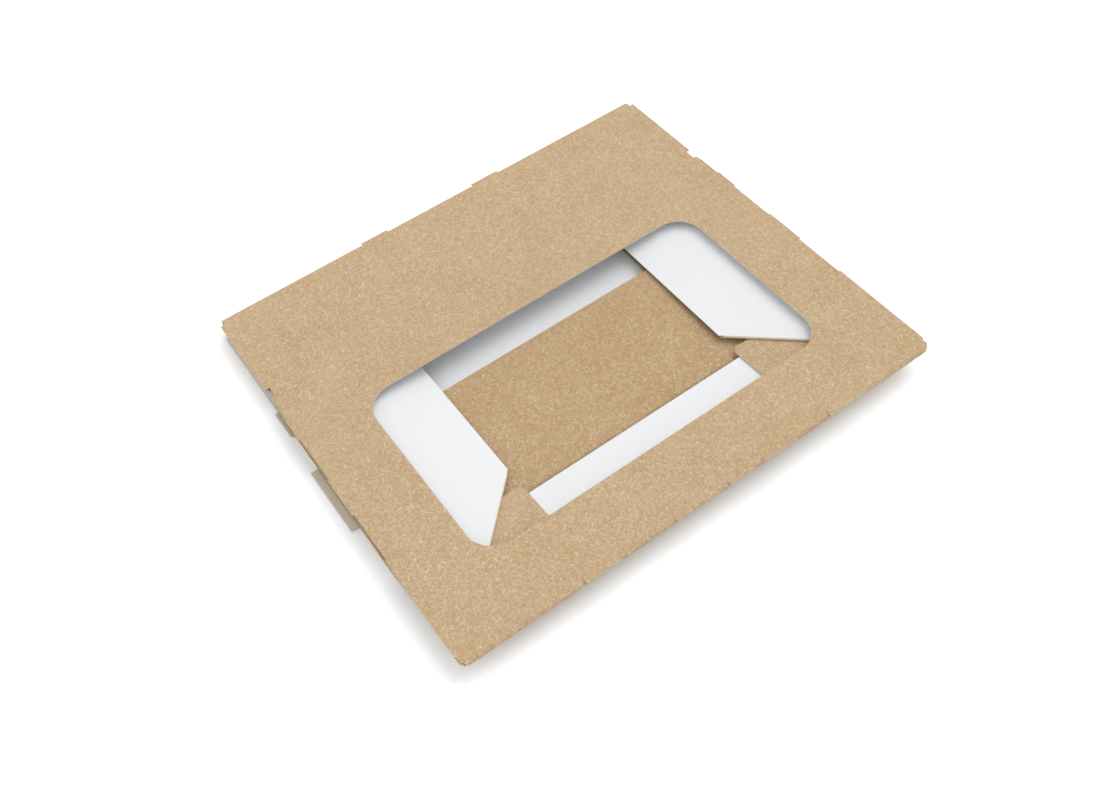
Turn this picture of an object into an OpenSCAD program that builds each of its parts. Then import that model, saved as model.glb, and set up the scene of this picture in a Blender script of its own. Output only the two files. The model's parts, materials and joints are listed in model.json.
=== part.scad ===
// Window cake box of kraft board, lying folded flat: a tray with glued gusset corners and a hinged lid.

/* [Board] */
// Thickness of the board
board_t = 0.5; // [0.4:0.05:0.6]
// Clear gap between two layers folded onto each other
fold_gap = 0.3; // [0.25:0.05:0.4]

/* [Tray] */
// Length of the tray, left to right
tray_l = 230; // [205:1:300]
// Depth of the base, front fold to back fold
tray_w = 149; // [145:1:200]
// Height of the front and back walls, measured on the flat blank
wall_h = 66; // [58:1:68]
// Height of the side walls, measured on the flat blank
side_wall_h = 60.5; // [50:0.5:64]
// Inside radius of the soft fold at the back
back_r = 4.75; // [4.5:0.25:7]
// Angle by which the folded walls spring up
wall_lift = 1; // [0.8:0.1:2]

/* [Lid] */
// Height of the side flaps, measured on the flat blank
side_flap_h = 61.5; // [50:0.5:64]
// Height of the front flap, measured on the flat blank
front_flap_h = 51.5; // [44:0.5:54]
// Angle by which the folded flaps hang below the lid
flap_hang = 5; // [3:0.25:5.5]
// Length of the glue flaps on the front flap
glue_flap_l = 61; // [45:1:63]

/* [Window] */
// Length of the window, left to right
window_l = 171; // [120:1:190]
// Width of the window, front to back
window_w = 93; // [60:1:100]
// Rim in front of the window
window_front = 31.5; // [20:0.5:40]
// Radius of the window's corners
window_r = 12.5; // [8:0.5:25]

/* [Folds] */
// Reach of the wide tongues at the sides of the tray
side_tongue = 3.5; // [2:0.25:5]
// Reach of the tongues at the edge of the lid
lid_tongue = 0.4; // [0.2:0.05:1]
// Length of the relief notches beside the hinge
notch_l = 5.5; // [3:0.5:8]
// Depth of the relief notches beside the hinge
notch_w = 1.8; // [1:0.1:3]
// Slit between the lid and the back wall at the hinge
hinge_gap = 0.3; // [0.25:0.05:0.5]

/* [Hidden] */
$fn = 64;

// Shares of the tray's depth, from the back, with the reach of each tongue
tray_tongue_shares = [[0.34, 0.44, 0.45], [0.58, 0.81, 1]];
// Shares of the lid's depth, from the hinge
lid_side_shares = [[0.1, 0.18], [0.34, 0.475], [0.64, 0.97]];
// Shares of the lid's length, from the left
lid_front_shares = [[0.233, 0.306], [0.418, 0.454], [0.531, 0.587], [0.606, 0.683], [0.756, 0.839]];
// Shares of the tray's length, from the left
back_shares = [[0.322, 0.384], [0.587, 0.653]];
glue_root_share = 0.04;
glue_tip_share = 0.11;
glue_round_share = 0.055;
tray_glue_share = 0.6;
flap_end_share = 0.1;
fan_share = 1.5;
back_tongue_share = 0.64;

overrun = 1;
weld = 0.05;
fold_lap = 0.02;
score = 0.01;
tongue_play = 0.2;
corner_play = 2;
layer = board_t + fold_gap;
tight_r = fold_gap / 2;
tight_out = tight_r + board_t;
stack_r = (3 * board_t + 3 * fold_gap) / 2;
stack_out = stack_r + board_t;
back_out = back_r + board_t;
bead_r = board_t + fold_gap / 2 - weld;

// Arc of a fold that stops short of flat by an angle, for a radius of one
function turn(short) = PI * (180 - short) / 180;

// Straight runs left after each fold has taken its share of the board
side_run = side_wall_h - (tight_r + board_t / 2) * turn(wall_lift);
front_run = wall_h - (stack_r + board_t / 2) * turn(wall_lift);
back_run = wall_h - (back_r + board_t / 2) * turn(wall_lift);
side_flap_run = side_flap_h - (tight_r + board_t / 2) * turn(flap_hang);
front_flap_run = front_flap_h - (stack_r + board_t / 2) * turn(flap_hang);

lid_l = tray_l + 2 * board_t;
lid_w = tray_w + 2 * board_t;
lid_run = lid_w - stack_out;

// Centres of the folds at the back and the front of the base
panel_run = (back_run + lid_run) * cos(wall_lift) - back_out * sin(wall_lift);
y_back = (panel_run + stack_out + lid_tongue - back_out) / 2;
y_front = y_back - tray_w;
hinge_y = y_back - back_run * cos(wall_lift) + back_out * sin(wall_lift);
hinge_z = back_out + back_run * sin(wall_lift) + back_out * cos(wall_lift);

// Height of the back wall's middle over the second gusset layer, square to it
back_level = (back_out - 2 * layer) * cos(wall_lift) + back_r + board_t / 2;
back_glue_r = back_level - board_t;

module along_x(length) {
    rotate([90, 0, 90])
        linear_extrude(length, center = true)
            children();
}

module along_y(length) {
    rotate([90, 0, 0])
        linear_extrude(length, center = true)
            children();
}

module ring(inner_r) {
    difference() {
        circle(inner_r + board_t);
        circle(inner_r);
    }
}

module left_half(far) {
    translate([-far, -far])
        square([far, 2 * far]);
}

// Panel folded back over the panel beside it, which lies under the fold's centre
module turned_panel(inner_r, lift, run, scored = 0) {
    lap = 2 * scored;
    far = fan_share * (inner_r + board_t);
    intersection() {
        ring(inner_r);
        left_half(far);
        rotate(lift)
            left_half(far);
    }
    rotate(lift)
        translate([-lap, inner_r + scored])
            square([run + lap, board_t - 2 * scored]);
}

module both_sides() {
    children();
    mirror([1, 0, 0])
        children();
}

// Corner seen from the end of two walls: inner gusset, glue flap on it, and the folded diagonal
module gusset(lift, height, seam) {
    bead_in = 2 * bead_r;
    translate([0, 0, 2 * layer])
        rotate([lift, 0, 0]) {
            linear_extrude(board_t)
                polygon([[0, 0], [height, height], [0, height]]);
            if (seam > 0) {
                translate([0, 0, board_t])
                    linear_extrude(board_t)
                        children();
                cube([board_t, seam, 2.5 * board_t + fold_gap]);
            }
        }
    translate([0, 0, layer])
        rotate([0, -lift, 0])
            translate([0, 0, bead_r + weld])
                rotate([0, 90, 45])
                    translate([0, 0, bead_in])
                        cylinder(r = bead_r, h = height * sqrt(2) - 2 * bead_in);
}

module tray_front_corner() {
    flap = tray_glue_share * side_run;
    translate([-tray_l / 2, y_front, 0])
        gusset(wall_lift, side_run, front_run)
            polygon([[0, 0], [flap, glue_root_share * front_run], [flap, front_run], [0, front_run]]);
}

// Glue flap of the back wall, which curves down from the wall's end onto the gusset
module back_glue() {
    run = back_run - notch_l - corner_play;
    far = fan_share * back_glue_r;
    translate([0, corner_play, 0])
        rotate([90, 0, 0])
            mirror([0, 0, 1])
                linear_extrude(run - corner_play) {
                    translate([back_glue_r, back_level])
                        intersection() {
                            ring(back_glue_r - board_t);
                            translate([-far, -far])
                                square(far);
                        }
                    translate([back_glue_r, board_t])
                        square([tray_glue_share * side_run - back_glue_r, board_t]);
                }
}

module tray_back_corner() {
    translate([-tray_l / 2, y_back, 0])
        mirror([0, 1, 0]) {
            gusset(wall_lift, side_run, 0);
            translate([0, 0, 2 * layer])
                rotate([wall_lift, 0, 0])
                    back_glue();
        }
}

function tongue_span(s, whole) = (s[1] - s[0]) * whole;

module base() {
    difference() {
        translate([tight_out - fold_lap - tray_l / 2, y_front - fold_lap, 0])
            cube([tray_l - 2 * tight_out + 2 * fold_lap, tray_w + 2 * fold_lap, board_t]);
        both_sides()
            for (s = tray_tongue_shares) {
                translate([tight_out - overrun - tray_l / 2, y_back - s[1] * tray_w, -overrun])
                    cube([overrun + side_tongue * s[2] + tight_out, tongue_span(s, tray_w), 2 * overrun + board_t]);
            }
    }
}

module side_wall() {
    difference() {
        intersection() {
            translate([0, y_back - tray_w / 2, 0])
                along_y(tray_w)
                    translate([tight_out - tray_l / 2, tight_out])
                        turned_panel(tight_r, wall_lift, side_run);
            translate([-tray_l / 2, 0, -overrun])
                linear_extrude(stack_out + side_wall_h)
                    polygon([[-overrun, y_front - overrun],
                        [side_wall_h + overrun, y_front + side_wall_h + overrun],
                        [side_wall_h + overrun, y_back - side_wall_h - overrun],
                        [-overrun, y_back + overrun]]);
        }
        for (s = tray_tongue_shares) {
            translate([-overrun - tray_l / 2, y_back - s[1] * tray_w, -overrun])
                cube([overrun + tight_out, tongue_span(s, tray_w), 2 * overrun + 2 * tight_out]);
        }
    }
    for (s = tray_tongue_shares) {
        reach = side_tongue * s[2] + tight_out;
        translate([tight_out - tray_l / 2, y_back - s[1] * tray_w + tongue_play, tight_out])
            rotate([0, -wall_lift, 0])
                translate([-reach, 0, tight_r])
                    cube([reach + overrun, tongue_span(s, tray_w) - 2 * tongue_play, board_t]);
    }
}

module front_wall() {
    along_x(tray_l)
        translate([y_front, stack_out])
            turned_panel(stack_r, wall_lift, front_run);
}

module back_wall() {
    reach = back_tongue_share * back_out;
    difference() {
        along_x(tray_l)
            translate([y_back, back_out])
                mirror([1, 0])
                    turned_panel(back_r, wall_lift, back_run - hinge_gap / 2, score);
        both_sides() {
            translate([-overrun - tray_l / 2, hinge_y - overrun, hinge_z - back_out])
                cube([overrun + notch_w, overrun + notch_l, 2 * back_out]);
            translate([-overrun - tray_l / 2, y_back - board_t, -overrun])
                cube([overrun + corner_play, 2 * back_out, 4 * back_out]);
        }
        for (s = back_shares) {
            translate([s[0] * tray_l - tray_l / 2, y_back, back_out])
                cube([tongue_span(s, tray_l), 2 * back_out, 2 * back_out]);
        }
    }
    for (s = back_shares) {
        translate([s[0] * tray_l - tray_l / 2 + tongue_play, y_back, back_out])
            rotate([-wall_lift, 0, 0])
                translate([0, -overrun, back_r])
                    cube([tongue_span(s, tray_l) - 2 * tongue_play, reach + overrun, board_t]);
    }
}

module window() {
    in_l = window_l / 2 - window_r;
    in_w = window_w / 2 - window_r;
    square([window_l, 2 * in_w], center = true);
    square([2 * in_l, window_w], center = true);
    for (x = [-in_l, in_l]) {
        for (y = [-in_w, in_w]) {
            translate([x, y])
                circle(window_r);
        }
    }
}

module lid_panel() {
    difference() {
        union() {
            translate([tight_out - fold_lap - lid_l / 2, -lid_run - fold_lap, -board_t])
                cube([lid_l - 2 * tight_out + 2 * fold_lap, lid_run + fold_lap - hinge_gap / 2, board_t]);
            both_sides()
                for (s = lid_side_shares) {
                    translate([-lid_l / 2 - lid_tongue, -s[1] * lid_w + tongue_play, -board_t])
                        cube([lid_tongue + overrun, tongue_span(s, lid_w) - 2 * tongue_play, board_t]);
                }
            for (s = lid_front_shares) {
                translate([s[0] * lid_l - lid_l / 2 + tongue_play, -lid_w - lid_tongue, -board_t])
                    cube([tongue_span(s, lid_l) - 2 * tongue_play, lid_tongue + stack_out + overrun, board_t]);
            }
        }
        translate([0, window_front + window_w / 2 - lid_w, -board_t - overrun])
            linear_extrude(board_t + 2 * overrun)
                window();
    }
}

module side_flap() {
    relief = notch_l / 2;
    root = tight_out + lid_tongue;
    difference() {
        intersection() {
            translate([0, -lid_run / 2, 0])
                along_y(lid_run)
                    translate([tight_out - lid_l / 2, -tight_out])
                        mirror([0, 1])
                            turned_panel(tight_r, flap_hang, side_flap_run);
            translate([-lid_l / 2, 0, -stack_out - side_flap_h])
                linear_extrude(stack_out + side_flap_h + overrun)
                    polygon([[-overrun, -lid_run - overrun],
                        [side_flap_h + overrun, side_flap_h + overrun - lid_run],
                        [side_flap_h + overrun, -relief - flap_end_share * side_flap_h],
                        [-overrun, -relief]]);
        }
        for (s = lid_side_shares) {
            translate([-lid_l / 2 - overrun, -s[1] * lid_w, -layer - board_t - 2 * overrun])
                cube([overrun + root + tight_out, tongue_span(s, lid_w), layer + board_t + 3 * overrun]);
        }
    }
}

module front_flap() {
    difference() {
        along_x(lid_l)
            translate([-lid_run, -stack_out])
                mirror([0, 1])
                    turned_panel(stack_r, flap_hang, front_flap_run);
        for (s = lid_front_shares) {
            translate([s[0] * lid_l - lid_l / 2, -lid_w - overrun, -stack_out])
                cube([tongue_span(s, lid_l), overrun + stack_out, stack_out + overrun]);
        }
    }
}

module lid_corner() {
    round_r = glue_round_share * glue_flap_l;
    tip = front_flap_run + glue_tip_share * front_flap_run;
    translate([-lid_l / 2, -lid_run, 0])
        mirror([0, 0, 1])
            gusset(flap_hang, side_flap_run, front_flap_run) {
                polygon([[0, 0], [glue_flap_l, glue_root_share * front_flap_run],
                    [glue_flap_l, tip - round_r], [glue_flap_l - round_r, tip], [0, front_flap_run]]);
                translate([glue_flap_l - round_r, tip - round_r])
                    circle(round_r);
            }
}

module tray() {
    color("tan") {
        base();
        front_wall();
        back_wall();
        both_sides() {
            side_wall();
            tray_front_corner();
            tray_back_corner();
        }
    }
}

module lid() {
    color("burlywood")
        translate([0, hinge_y, hinge_z])
            rotate([-wall_lift, 0, 0]) {
                lid_panel();
                front_flap();
                both_sides() {
                    side_flap();
                    lid_corner();
                }
            }
}

tray();
lid();
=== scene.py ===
import json
import math

import bmesh
import bpy
from mathutils import Matrix, Vector


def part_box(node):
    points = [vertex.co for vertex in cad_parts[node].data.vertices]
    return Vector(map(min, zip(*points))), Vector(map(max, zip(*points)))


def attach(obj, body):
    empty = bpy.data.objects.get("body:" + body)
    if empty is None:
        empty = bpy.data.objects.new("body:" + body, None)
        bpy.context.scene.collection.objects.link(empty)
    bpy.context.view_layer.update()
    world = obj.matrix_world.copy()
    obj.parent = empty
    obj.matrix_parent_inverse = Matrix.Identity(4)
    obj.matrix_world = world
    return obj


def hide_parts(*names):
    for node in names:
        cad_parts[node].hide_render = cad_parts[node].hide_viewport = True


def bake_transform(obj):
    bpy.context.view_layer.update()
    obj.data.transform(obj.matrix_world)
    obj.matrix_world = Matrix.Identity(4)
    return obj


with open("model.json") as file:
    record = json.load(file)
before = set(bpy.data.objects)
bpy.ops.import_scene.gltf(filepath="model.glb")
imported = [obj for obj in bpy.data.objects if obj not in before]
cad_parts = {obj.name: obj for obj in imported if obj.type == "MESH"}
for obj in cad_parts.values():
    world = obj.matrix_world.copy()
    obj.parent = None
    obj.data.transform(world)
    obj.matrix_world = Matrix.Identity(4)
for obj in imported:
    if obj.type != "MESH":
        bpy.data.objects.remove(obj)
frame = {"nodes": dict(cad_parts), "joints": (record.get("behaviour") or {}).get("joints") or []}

bl_info = {
    "name": "Window Cake Box",
    "version": (1, 0, 0),
    "blender": (4, 5, 0),
    "location": "View3D > Sidebar > Cake Box",
    "description": "Kraft board finish, hinge crease and studio stage for a cake box lying folded flat",
    "category": "Object",
}

MM = 0.001

# The point on the lid's crease that the lid turns about, and the boxes of the two solids.
HINGE = frame["joints"][0]["pos_m"]
LID_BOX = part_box("lid")
TRAY_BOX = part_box("tray")

# Tongues past the side folds of the tray: how far they reach, the fold they leave, and where their painted
# light begins.
SIDE_TONGUE = 3.5 * MM
SIDE_FOLD = -TRAY_BOX[0].x - SIDE_TONGUE
TONGUE_ROOT = 0.2 * MM

# How far the tongues at the lid's folds reach, and the side and turn of the blocks that clip its corners.
LID_TONGUE = 0.4 * MM
CUTTER = 20 * MM
CLIP_TURN = math.radians(45)

# Points this close are merged in the copy of a solid, and openings this fine are closed in the end.
WELD = 0.02 * MM
HAIRLINE = 0.0001 * MM

# Folds sharper than this stay sharp, and large faces take all the weight in the smooth shading.
SHARP_TURN = math.radians(32)
LARGE_FACE_WEIGHT = 100

# Finishes by their place in each piece's list of materials.
KRAFT, LINER, RAW, PAINTED_SHADE = range(4)

# The side of the board that a smooth patch shows if it is larger than an area in square metres, the largest
# first. The patches run on over the folds, so each side of the board shows as a few very large ones.
PATCH_SIDES = {
    # On the tray, the second largest patch is its outer side, which takes kraft darkened with painted shade.
    "tray": ((0.07, LINER), (0.05, PAINTED_SHADE), (0.01, KRAFT)),
    "lid": ((0.03, LINER), (0.005, KRAFT)),
}
# Which way a smaller patch of kraft faces, down or up, and how squarely it has to.
KRAFT_FACES = {"tray": -1, "lid": 1}
LEAST_FACING = 0.5
# A face with a shorter normal has no area, and so no direction of its own.
LEAST_NORMAL = 0.5
# Faces of the lid that point up more than this are its top.
LID_TOP = 0.99

# Fibres in the board: the directions they lie in, how many fit in a metre across and along, and the part
# of the noise that shows.
FIBRES = {
    "Pale fibres": {"turns": (12, 71, 128), "across": 4200, "along": 420, "low": 0.60, "high": 0.67},
    "Dark fibres": {"turns": (38, 97, 163), "across": 4400, "along": 560, "low": 0.60, "high": 0.68},
}
FIBRE_NOISE = {"Scale": 1.0, "Detail": 2.0, "Distortion": 0.6}

# Clouding in two sizes, with the share of the broad one, and the fine tooth of the surface with its height.
FINE_CLOUD = {"Scale": 170.0, "Detail": 6.0, "Roughness": 0.68}
BROAD_CLOUD = {"Scale": 55.0, "Detail": 4.0, "Roughness": 0.6}
BROAD_SHARE = 0.75
TOOTH = {"Scale": 2400.0, "Detail": 3.0, "Roughness": 0.5}
TOOTH_HEIGHT = 0.02 * MM

# Tints of the kraft as shares of its red, green and blue, and what the pale fibres have on top.
KRAFT_CLOUD = (0.70, 0.56, 0.44)
KRAFT_CLOUD_SHARE = 0.8
KRAFT_DARK = (0.55, 0.47, 0.42)
KRAFT_PALE = (1.2, 1.2, 1.2)
KRAFT_PALE_MORE = (0.10, 0.17, 0.16)
KRAFT_SURFACE = {"roughness": 0.85, "tooth": 0.25}

# Tints of the liner and the raw edge: a share of the colour, and how strongly it shows.
LINER_TINTS = {"Cloud": (0.97, 0.5), "Dark fibres": (0.93, 0.25), "Pale fibres": (1.05, 0.3)}
LINER_SURFACE = {"roughness": 0.6, "tooth": 0.1}
RAW_TINTS = {"Cloud": (0.92, 0.5), "Dark fibres": (0.75, 0.4), "Pale fibres": (1.2, 0.4)}
RAW_SURFACE = {"roughness": 0.9, "tooth": 0.3}
BOARD_GLOSS = 0.25

# Lines across the hinge crease where it can bend, as shares of its width.
CREASE_BENDS = (-0.3, -0.1, 0.1, 0.3)

# How far the floor lies under the box, the way the key lamp shines, and the width of the camera's sensor.
FLOOR_DROP = 0.05 * MM
KEY_DIRECTION = (-0.62, -0.1, -1.0)
SENSOR_WIDTH = 36.0


class CakeBoxBoard(bpy.types.PropertyGroup):
    """Colours and grain of the board"""

    kraft: bpy.props.FloatVectorProperty(
        name="Kraft", description="Colour of the outer side of the board",
        default=(0.597, 0.446, 0.273), size=3, subtype="COLOR", min=0, max=1)
    # Painted shade: a darker copy of the kraft for the tray's outer side, which lies in the recess under the
    # lid and under the base.
    painted_shade_kraft: bpy.props.FloatVectorProperty(
        name="Painted shade kraft", description="Colour of the outer side that lies under the lid and the base",
        default=(0.551, 0.391, 0.226), size=3, subtype="COLOR", min=0, max=1)
    liner: bpy.props.FloatVectorProperty(
        name="Liner", description="Colour of the white inner side of the board",
        default=(0.825, 0.836, 0.848), size=3, subtype="COLOR", min=0, max=1)
    # The same colour also gives the tongues of the tray their painted light.
    raw_edge: bpy.props.FloatVectorProperty(
        name="Raw edge", description="Colour of the cut edge of the board",
        default=(0.74, 0.65, 0.52), size=3, subtype="COLOR", min=0, max=1)
    fibre_light: bpy.props.FloatProperty(
        name="Pale fibres", description="How strongly pale fibres show on the kraft side",
        default=0.7, min=0, max=1, subtype="FACTOR")
    fibre_dark: bpy.props.FloatProperty(
        name="Dark fibres", description="How strongly dark fibres show on the kraft side",
        default=0.7, min=0, max=1, subtype="FACTOR")
    turn_limit: bpy.props.FloatProperty(
        name="Turn limit", description="Angle between two faces past which the side of the board ends",
        default=math.radians(40), min=0, max=math.pi, subtype="ANGLE")
    corner_clip: bpy.props.FloatProperty(
        name="Corner clip", description="Length cut off each edge at the front corners of the lid",
        default=2.5 * MM, min=0, unit="LENGTH", precision=5)
    sheet_area: bpy.props.FloatProperty(
        name="Least sheet area", description="Area in square metres up to which a patch is a cut edge",
        default=0.0003, min=0)


class CakeBoxCrease(bpy.types.PropertyGroup):
    """Sizes of the crease between the back wall and the lid"""

    width: bpy.props.FloatProperty(
        name="Width", description="Width of the creased board across the hinge",
        default=0.5 * MM, min=0, unit="LENGTH", precision=5)
    depth: bpy.props.FloatProperty(
        name="Depth", description="Thickness of the creased skin",
        default=0.1 * MM, min=0, unit="LENGTH", precision=5)
    proud: bpy.props.FloatProperty(
        name="Proud", description="Height of the crease over the board",
        default=0.008 * MM, min=0, unit="LENGTH", precision=6)
    end_room: bpy.props.FloatProperty(
        name="End room", description="Length left free at each end for the relief notches",
        default=2.0 * MM, min=0, unit="LENGTH", precision=5)


class CakeBoxStage(bpy.types.PropertyGroup):
    """Floor, lamp, sky and camera"""

    floor_size: bpy.props.FloatProperty(
        name="Floor size", description="Side of the floor", default=6.0, min=1, unit="LENGTH")
    floor_color: bpy.props.FloatVectorProperty(
        name="Floor", description="Colour of the floor",
        default=(0.897, 0.92, 0.943), size=3, subtype="COLOR", min=0, max=1)
    floor_lift: bpy.props.FloatProperty(
        name="Floor lift", description="How much brighter the camera sees the floor",
        default=0.38, min=0, max=1, subtype="FACTOR")
    key_strength: bpy.props.FloatProperty(
        name="Key strength", description="Strength of the soft key lamp", default=1.08, min=0)
    key_angle: bpy.props.FloatProperty(
        name="Key softness", description="Angle that the key lamp spans",
        default=math.radians(50), min=0, max=math.pi, subtype="ANGLE")
    sky_strength: bpy.props.FloatProperty(
        name="Sky strength", description="Strength of the even light from all round", default=0.78, min=0)
    lens: bpy.props.FloatProperty(
        name="Lens", description="Focal length of the camera, in millimetres", default=36.767, min=10)
    azimuth: bpy.props.FloatProperty(
        name="Azimuth", description="Heading of the view, from the back fold towards the right",
        default=math.radians(30.72), subtype="ANGLE")
    elevation: bpy.props.FloatProperty(
        name="Elevation", description="Height of the camera over the horizon",
        default=math.radians(54.50), subtype="ANGLE")
    roll: bpy.props.FloatProperty(
        name="Roll", description="Turn of the camera about its view",
        default=math.radians(-6.08), subtype="ANGLE")
    distance: bpy.props.FloatProperty(
        name="Distance", description="From the camera to the point it looks at",
        default=0.4777, min=0.1, unit="LENGTH")
    target: bpy.props.FloatVectorProperty(
        name="Target", description="Point that the camera looks at",
        default=(-0.01787, -0.02461, 0.005), size=3, subtype="TRANSLATION", unit="LENGTH")


def fresh_nodes(tree):
    """Empties a node tree and returns its nodes and links."""
    tree.nodes.clear()
    return tree.nodes, tree.links


def noise_layer(nodes, links, vector, settings):
    """Noise as a mask, with its sockets set by name."""
    noise = nodes.new("ShaderNodeTexNoise")
    for socket, value in settings.items():
        noise.inputs[socket].default_value = value
    links.new(vector, noise.inputs["Vector"])
    return noise.outputs["Fac"]


def fibre_layer(nodes, links, vector, turn, fibres):
    """One set of fibres at an angle in degrees: stretched noise cut to thin streaks. Returns its mask."""
    lay = nodes.new("ShaderNodeMapping")
    lay.vector_type = "TEXTURE"
    lay.inputs["Rotation"].default_value = (0.0, 0.0, math.radians(turn))
    lay.inputs["Scale"].default_value = (1 / fibres["along"], 1 / fibres["across"], 1 / fibres["along"])
    links.new(vector, lay.inputs["Vector"])
    streaks = nodes.new("ShaderNodeMapRange")
    streaks.inputs["From Min"].default_value = fibres["low"]
    streaks.inputs["From Max"].default_value = fibres["high"]
    links.new(noise_layer(nodes, links, lay.outputs["Vector"], FIBRE_NOISE), streaks.inputs["Value"])
    return streaks.outputs["Result"]


def brightest(nodes, links, values):
    """The largest of several masks."""
    result = values[0]
    for value in values[1:]:
        most = nodes.new("ShaderNodeMath")
        most.operation = "MAXIMUM"
        links.new(result, most.inputs[0])
        links.new(value, most.inputs[1])
        result = most.outputs[0]
    return result


def board_grain():
    """Node group of pulp fibres, soft clouding and a fine tooth, used by every side of the board."""
    group = bpy.data.node_groups.get("Board grain")
    if group:
        return group
    group = bpy.data.node_groups.new("Board grain", "ShaderNodeTree")
    group.interface.new_socket("Coordinates", in_out="INPUT", socket_type="NodeSocketVector")
    for name in (*FIBRES, "Cloud", "Tooth"):
        group.interface.new_socket(name, in_out="OUTPUT", socket_type="NodeSocketFloat")
    nodes, links = fresh_nodes(group)
    start = nodes.new("NodeGroupInput")
    end = nodes.new("NodeGroupOutput")
    place = start.outputs["Coordinates"]
    for name, fibres in FIBRES.items():
        masks = [fibre_layer(nodes, links, place, turn, fibres) for turn in fibres["turns"]]
        links.new(brightest(nodes, links, masks), end.inputs[name])
    cloud = nodes.new("ShaderNodeMix")
    cloud.inputs["Factor"].default_value = BROAD_SHARE
    links.new(noise_layer(nodes, links, place, FINE_CLOUD), cloud.inputs["A"])
    links.new(noise_layer(nodes, links, place, BROAD_CLOUD), cloud.inputs["B"])
    links.new(cloud.outputs["Result"], end.inputs["Cloud"])
    links.new(noise_layer(nodes, links, place, TOOTH), end.inputs["Tooth"])
    return group


def tinted(nodes, links, base, tint, amount, mask):
    """A colour that turns to a tint where the mask is bright."""
    share = nodes.new("ShaderNodeMath")
    share.operation = "MULTIPLY"
    share.inputs[1].default_value = amount
    links.new(mask, share.inputs[0])
    mix = nodes.new("ShaderNodeMix")
    mix.data_type = "RGBA"
    mix.inputs["B"].default_value = (*tint, 1.0)
    if isinstance(base, bpy.types.NodeSocket):
        links.new(base, mix.inputs["A"])
    else:
        mix.inputs["A"].default_value = (*base, 1.0)
    links.new(share.outputs[0], mix.inputs["Factor"])
    return mix.outputs["Result"]


def board_material(name, base, tints, surface):
    """Matt board: a base colour, tints laid over it where the grain shows them, and a fine tooth."""
    material = bpy.data.materials.get(name)
    if material:
        return material
    material = bpy.data.materials.new(name)
    material.use_nodes = True
    nodes, links = fresh_nodes(material.node_tree)
    out = nodes.new("ShaderNodeOutputMaterial")
    shader = nodes.new("ShaderNodeBsdfPrincipled")
    links.new(shader.outputs["BSDF"], out.inputs["Surface"])
    place = nodes.new("ShaderNodeTexCoord")
    grain = nodes.new("ShaderNodeGroup")
    grain.node_tree = board_grain()
    links.new(place.outputs["Object"], grain.inputs["Coordinates"])
    color = base
    for mask, (tint, amount) in tints.items():
        color = tinted(nodes, links, color, tint, amount, grain.outputs[mask])
    links.new(color, shader.inputs["Base Color"])
    shader.inputs["Roughness"].default_value = surface["roughness"]
    shader.inputs["Specular IOR Level"].default_value = BOARD_GLOSS
    tooth = nodes.new("ShaderNodeBump")
    tooth.inputs["Strength"].default_value = surface["tooth"]
    tooth.inputs["Distance"].default_value = TOOTH_HEIGHT
    links.new(grain.outputs["Tooth"], tooth.inputs["Height"])
    links.new(tooth.outputs["Normal"], shader.inputs["Normal"])
    return material


def shade(color, shares, more=(0, 0, 0)):
    """A colour with each channel made lighter or darker, up to full."""
    return tuple(min(1.0, c * share + rest) for c, share, rest in zip(color, shares, more))


def even_shade(color, share):
    """A colour made lighter or darker in all its channels alike."""
    return shade(color, (share, share, share))


def kraft_material(name, base):
    """Brown outer side of the board."""
    board = bpy.context.scene.cake_box_board
    tints = {
        "Cloud": (shade(base, KRAFT_CLOUD), KRAFT_CLOUD_SHARE),
        "Dark fibres": (shade(base, KRAFT_DARK), board.fibre_dark),
        "Pale fibres": (shade(base, KRAFT_PALE, KRAFT_PALE_MORE), board.fibre_light),
    }
    return board_material(name, base, tints, KRAFT_SURFACE)


def plain_material(name, base, shares, surface):
    """White liner or raw edge, with tints of the same hue."""
    tints = {mask: (even_shade(base, share), amount) for mask, (share, amount) in shares.items()}
    return board_material(name, base, tints, surface)


def board_sides():
    """The finishes in order: kraft outside, white liner inside, raw cut edge, and kraft darkened with
    painted shade.
    """
    board = bpy.context.scene.cake_box_board
    return [
        kraft_material("Kraft side", tuple(board.kraft)),
        plain_material("White liner", tuple(board.liner), LINER_TINTS, LINER_SURFACE),
        plain_material("Raw board edge", tuple(board.raw_edge), RAW_TINTS, RAW_SURFACE),
        # Painted shade: the tray's outer side takes this darker copy of the kraft.
        kraft_material("Painted shade kraft side", tuple(board.painted_shade_kraft)),
    ]


def smooth_patches(mesh, limit):
    """Groups the faces of a bmesh into patches with no turn over the limit between neighbours."""
    patches = []
    left = set(mesh.faces)
    while left:
        first = left.pop()
        patch = [first]
        todo = [first]
        while todo:
            face = todo.pop()
            for edge in face.edges:
                for other in edge.link_faces:
                    if other not in left:
                        continue
                    flat = min(face.normal.length, other.normal.length) < LEAST_NORMAL
                    if flat or face.normal.angle(other.normal) < limit:
                        left.discard(other)
                        patch.append(other)
                        todo.append(other)
        patches.append(patch)
    return patches


def patch_side(node, patch):
    """The side of the board that a smooth patch shows, told by its area and the way it faces."""
    area = sum(face.calc_area() for face in patch)
    if area <= bpy.context.scene.cake_box_board.sheet_area:
        return RAW
    for least, side in PATCH_SIDES[node]:
        if area > least:
            return side
    up = sum(face.normal.z * face.calc_area() for face in patch) / area
    return KRAFT if up * KRAFT_FACES[node] > LEAST_FACING else LINER


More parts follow.
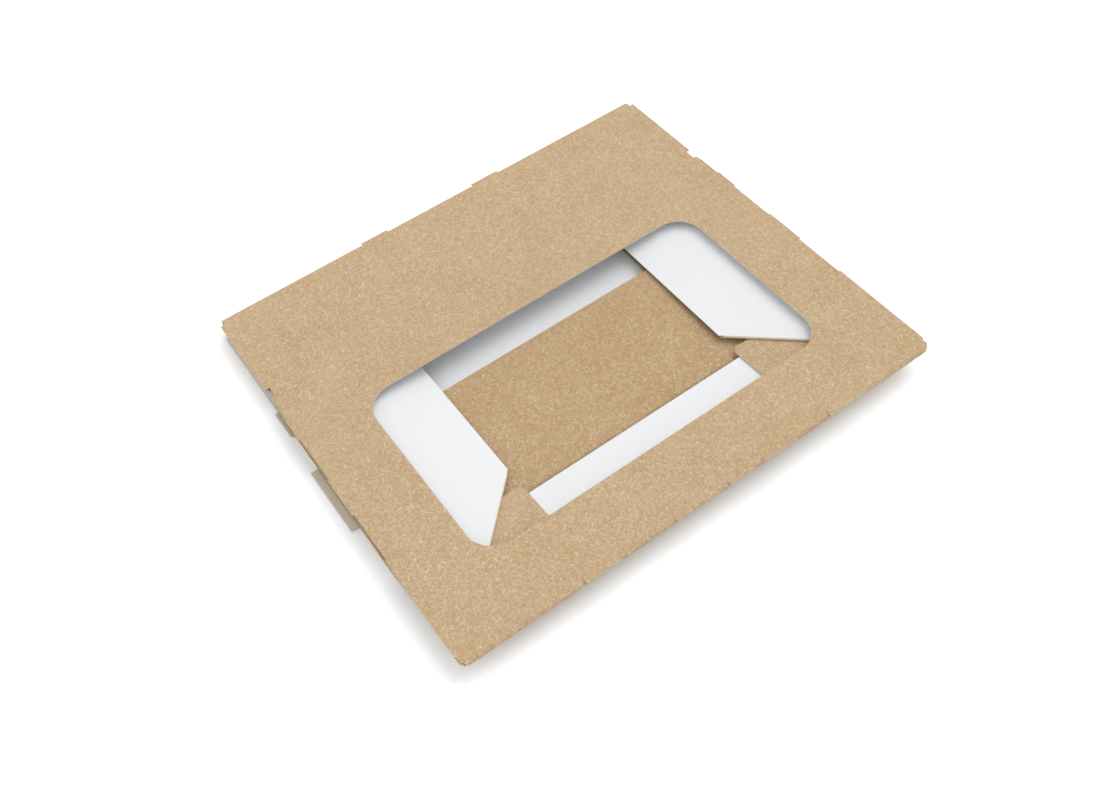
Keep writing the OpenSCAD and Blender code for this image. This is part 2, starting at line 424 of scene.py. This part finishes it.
def folded_sheet(node):
    """A bmesh copy of a folded sheet, each face marked with the side or the cut edge that it shows."""
    mesh = bmesh.new()
    mesh.from_mesh(frame["nodes"][node].data)
    bmesh.ops.remove_doubles(mesh, verts=mesh.verts, dist=WELD)
    mesh.normal_update()
    found = set()
    for patch in smooth_patches(mesh, bpy.context.scene.cake_box_board.turn_limit):
        side = patch_side(node, patch)
        found.add(side)
        for face in patch:
            face.material_index = side
            face.smooth = True
    if not found >= {KRAFT, LINER, RAW}:
        raise RuntimeError(f"{node}: the sides of the board were not all found")
    return mesh


def paint_light_on_tongues(mesh):
    """Paints light on the tongues that stick out past the side folds of the tray, giving them the paler
    finish of the cut edge in place of their kraft.
    """
    start = SIDE_FOLD + TONGUE_ROOT
    for x in (-start, start):
        everything = [*mesh.verts, *mesh.edges, *mesh.faces]
        bmesh.ops.bisect_plane(mesh, geom=everything, plane_co=(x, 0, 0), plane_no=(1, 0, 0))
    for face in mesh.faces:
        if abs(face.calc_center_median().x) > start:
            # Painted light: the tongues take the paler finish of the cut edge.
            face.material_index = RAW


def board_piece(name, mesh):
    """Makes an object of a marked sheet, gives it the finishes, and leaves it selected and active."""
    sheet = bpy.data.meshes.new(name)
    mesh.to_mesh(sheet)
    mesh.free()
    for finish in board_sides():
        sheet.materials.append(finish)
    piece = bpy.data.objects.new(name, sheet)
    bpy.context.scene.collection.objects.link(piece)
    bpy.ops.object.select_all(action="DESELECT")
    piece.select_set(True)
    bpy.context.view_layer.objects.active = piece
    return piece


def clip_corners(piece):
    """Takes the tips off the two front corners of the lid, which is active, where the creases cross."""
    low, high = LID_BOX
    depth = bpy.context.scene.cake_box_board.corner_clip * math.sin(CLIP_TURN)
    turn = Matrix.Rotation(CLIP_TURN, 4, "Z")
    mesh = bmesh.new()
    for side in (-1, 1):
        outward = Vector((side, -1, 0)).normalized()
        corner = Vector((side * (high.x - LID_TONGUE), low.y + LID_TONGUE, (low.z + high.z) / 2))
        centre = Matrix.Translation(corner + outward * (CUTTER / 2 - depth))
        bmesh.ops.create_cube(mesh, size=CUTTER, matrix=centre @ turn)
    for face in mesh.faces:
        face.material_index = RAW
    blocks = bpy.data.meshes.new("corner_cutter")
    mesh.to_mesh(blocks)
    mesh.free()
    cutter = bpy.data.objects.new("corner_cutter", blocks)
    bpy.context.scene.collection.objects.link(cutter)
    clip = piece.modifiers.new("Clipped corners", "BOOLEAN")
    clip.operation = "DIFFERENCE"
    clip.solver = "EXACT"
    clip.object = cutter
    bpy.ops.object.modifier_apply(modifier=clip.name)
    bpy.data.objects.remove(cutter)
    bpy.data.meshes.remove(blocks)


def close_seams(sheet):
    """Closes the hairline openings that merging and cutting leave in a sheet."""
    mesh = bmesh.new()
    mesh.from_mesh(sheet)
    bmesh.ops.holes_fill(mesh, edges=[e for e in mesh.edges if e.is_boundary], sides=0)
    bmesh.ops.dissolve_degenerate(mesh, edges=mesh.edges, dist=HAIRLINE)
    mesh.to_mesh(sheet)
    mesh.free()


def even_panels(piece):
    """Smooths the bends of a piece, which is active, and keeps its panels flat and its cut edges sharp."""
    close_seams(piece.data)
    bpy.ops.object.shade_smooth_by_angle(angle=SHARP_TURN)
    even = piece.modifiers.new("Even panels", "WEIGHTED_NORMAL")
    even.weight = LARGE_FACE_WEIGHT
    even.keep_sharp = True
    bpy.ops.object.modifier_apply(modifier=even.name)


class CAKEBOX_OT_tray_board(bpy.types.Operator):
    """Makes the folded tray with its kraft side, liner and cut edges"""

    bl_idname = "cakebox.tray_board"
    bl_label = "Tray Board"

    def execute(self, context):
        mesh = folded_sheet("tray")
        paint_light_on_tongues(mesh)
        piece = board_piece("tray_board", mesh)
        even_panels(piece)
        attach(piece, "tray")
        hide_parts("tray")
        return {"FINISHED"}


class CAKEBOX_OT_lid_board(bpy.types.Operator):
    """Makes the lid with its flaps and window, and its kraft side, liner and cut edges"""

    bl_idname = "cakebox.lid_board"
    bl_label = "Lid Board"

    def execute(self, context):
        piece = board_piece("lid_board", folded_sheet("lid"))
        clip_corners(piece)
        even_panels(piece)
        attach(piece, "lid")
        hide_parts("lid")
        return {"FINISHED"}


def lid_tilt():
    """Slope of the lid's top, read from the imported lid."""
    tops = [p for p in frame["nodes"]["lid"].data.polygons if p.normal.z > LID_TOP]
    widest = max(tops, key=lambda p: p.area)
    return math.atan2(widest.normal.y, widest.normal.z)


class CAKEBOX_OT_hinge_crease(bpy.types.Operator):
    """Makes the creased skin of board that bends between the back wall and the lid"""

    bl_idname = "cakebox.hinge_crease"
    bl_label = "Hinge Crease"

    def execute(self, context):
        crease = context.scene.cake_box_crease
        length = 2 * (SIDE_FOLD - crease.end_room)
        bpy.ops.object.select_all(action="DESELECT")
        bpy.ops.mesh.primitive_cube_add(size=1.0, location=(0, 0, 0))
        piece = context.active_object
        piece.name = piece.data.name = "hinge_crease"
        bpy.ops.object.mode_set(mode="EDIT")
        bpy.ops.mesh.select_all(action="SELECT")
        bpy.ops.transform.resize(value=(length, crease.width, crease.depth))
        for bend in CREASE_BENDS:
            bpy.ops.mesh.select_all(action="SELECT")
            place = (0, bend * crease.width, 0)
            bpy.ops.mesh.bisect(plane_co=place, plane_no=(0, 1, 0), threshold=HAIRLINE)
        bpy.ops.object.mode_set(mode="OBJECT")
        lift = crease.proud - crease.depth / 2
        across = Matrix.Rotation(-lid_tilt(), 4, "X")
        piece.data.transform(Matrix.Translation(HINGE) @ across @ Matrix.Translation((0, 0, lift)))
        piece.data.materials.append(board_sides()[KRAFT])
        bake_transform(piece)
        return {"FINISHED"}


def floor_material(color, lift):
    """Matt pale floor that is brighter where the camera sees it, so that its far shadow fades to white."""
    material = bpy.data.materials.new("Studio floor")
    material.use_nodes = True
    nodes, links = fresh_nodes(material.node_tree)
    out = nodes.new("ShaderNodeOutputMaterial")
    matt = nodes.new("ShaderNodeBsdfDiffuse")
    matt.inputs["Color"].default_value = (*color, 1.0)
    more = nodes.new("ShaderNodeBsdfDiffuse")
    more.inputs["Color"].default_value = (*even_shade(color, lift), 1.0)
    both = nodes.new("ShaderNodeAddShader")
    links.new(matt.outputs[0], both.inputs[0])
    links.new(more.outputs[0], both.inputs[1])
    path = nodes.new("ShaderNodeLightPath")
    mix = nodes.new("ShaderNodeMixShader")
    links.new(path.outputs["Is Camera Ray"], mix.inputs["Fac"])
    links.new(matt.outputs[0], mix.inputs[1])
    links.new(both.outputs[0], mix.inputs[2])
    links.new(mix.outputs[0], out.inputs["Surface"])
    return material


def studio_sky(strength):
    """Even light all round, and plain white where the camera, gloss or glass looks at it."""
    world = bpy.context.scene.world or bpy.data.worlds.new("Studio")
    bpy.context.scene.world = world
    world.use_nodes = True
    nodes, links = fresh_nodes(world.node_tree)
    out = nodes.new("ShaderNodeOutputWorld")
    glow = nodes.new("ShaderNodeBackground")
    glow.inputs["Strength"].default_value = strength
    white = nodes.new("ShaderNodeBackground")
    for back in (glow, white):
        back.inputs["Color"].default_value = (1, 1, 1, 1)
    path = nodes.new("ShaderNodeLightPath")
    seen = [path.outputs[name] for name in ("Is Camera Ray", "Is Glossy Ray", "Is Transmission Ray")]
    mix = nodes.new("ShaderNodeMixShader")
    links.new(brightest(nodes, links, seen), mix.inputs["Fac"])
    links.new(glow.outputs[0], mix.inputs[1])
    links.new(white.outputs[0], mix.inputs[2])
    links.new(mix.outputs[0], out.inputs["Surface"])


def key_lamp(strength, softness):
    """Soft lamp from the upper right, whose shadow falls to the left."""
    key = bpy.data.lights.new("Key lamp", "SUN")
    key.energy = strength
    key.angle = softness
    lamp = bpy.data.objects.new("Key lamp", key)
    bpy.context.scene.collection.objects.link(lamp)
    lamp.rotation_euler = Vector(KEY_DIRECTION).to_track_quat("-Z", "Y").to_euler()


def stage_camera(stage):
    """Camera that looks at its target along the heading, height and roll of the stage."""
    lens = bpy.data.cameras.new("Camera")
    lens.sensor_fit = "HORIZONTAL"
    lens.sensor_width = SENSOR_WIDTH
    lens.lens = stage.lens
    camera = bpy.data.objects.new("Camera", lens)
    bpy.context.scene.collection.objects.link(camera)
    level = math.cos(stage.elevation)
    east = math.sin(stage.azimuth) * level
    north = math.cos(stage.azimuth) * level
    ahead = Vector((east, north, -math.sin(stage.elevation)))
    right = ahead.cross(Vector((0, 0, 1))).normalized()
    upward = right.cross(ahead)
    axis_x = right * math.cos(stage.roll) + upward * math.sin(stage.roll)
    axis_y = upward * math.cos(stage.roll) - right * math.sin(stage.roll)
    turn = Matrix((axis_x, axis_y, -ahead)).transposed()
    place = Vector(stage.target) - ahead * stage.distance
    camera.matrix_world = Matrix.Translation(place) @ turn.to_4x4()
    bpy.context.scene.camera = camera


class CAKEBOX_OT_stage(bpy.types.Operator):
    """Sets the floor, the lamp, the sky and the camera"""

    bl_idname = "cakebox.stage"
    bl_label = "Stage"

    def execute(self, context):
        stage = context.scene.cake_box_stage
        bpy.ops.object.select_all(action="DESELECT")
        bpy.ops.mesh.primitive_plane_add(size=stage.floor_size, location=(0, 0, 0))
        floor = context.active_object
        floor.name = floor.data.name = "studio_floor"
        floor.data.transform(Matrix.Translation((0, 0, -FLOOR_DROP)))
        floor.data.materials.append(floor_material(tuple(stage.floor_color), stage.floor_lift))
        studio_sky(stage.sky_strength)
        key_lamp(stage.key_strength, stage.key_angle)
        stage_camera(stage)
        context.scene.view_settings.view_transform = "Standard"
        return {"FINISHED"}


class CAKEBOX_PT_sidebar(bpy.types.Panel):
    """Sizes, colours and steps of the cake box"""

    bl_idname = "CAKEBOX_PT_sidebar"
    bl_label = "Cake Box"
    bl_space_type = "VIEW_3D"
    bl_region_type = "UI"
    bl_category = "Cake Box"

    def draw(self, context):
        for group, kind in GROUPS.items():
            box = self.layout.box()
            for name in kind.__annotations__:
                box.prop(getattr(context.scene, group), name)
        for step in STEPS:
            self.layout.operator(step.bl_idname)


STEPS = (CAKEBOX_OT_tray_board, CAKEBOX_OT_lid_board, CAKEBOX_OT_hinge_crease, CAKEBOX_OT_stage)
GROUPS = {"cake_box_board": CakeBoxBoard, "cake_box_crease": CakeBoxCrease, "cake_box_stage": CakeBoxStage}


def register():
    for name, group in GROUPS.items():
        bpy.utils.register_class(group)
        setattr(bpy.types.Scene, name, bpy.props.PointerProperty(type=group))
    for step in STEPS:
        bpy.utils.register_class(step)
    bpy.utils.register_class(CAKEBOX_PT_sidebar)


def unregister():
    bpy.utils.unregister_class(CAKEBOX_PT_sidebar)
    for step in reversed(STEPS):
        bpy.utils.unregister_class(step)
    for name, group in GROUPS.items():
        delattr(bpy.types.Scene, name)
        bpy.utils.unregister_class(group)


def clear_start_objects():
    """Removes what an empty file starts with."""
    for name in ("Cube", "Light", "Camera"):
        found = bpy.data.objects.get(name)
        if found:
            bpy.data.objects.remove(found)


def main():
    clear_start_objects()
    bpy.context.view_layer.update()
    register()
    bpy.ops.cakebox.tray_board()
    bpy.ops.cakebox.lid_board()
    bpy.ops.cakebox.hinge_crease()
    bpy.ops.cakebox.stage()


if __name__ == "__main__":
    main()
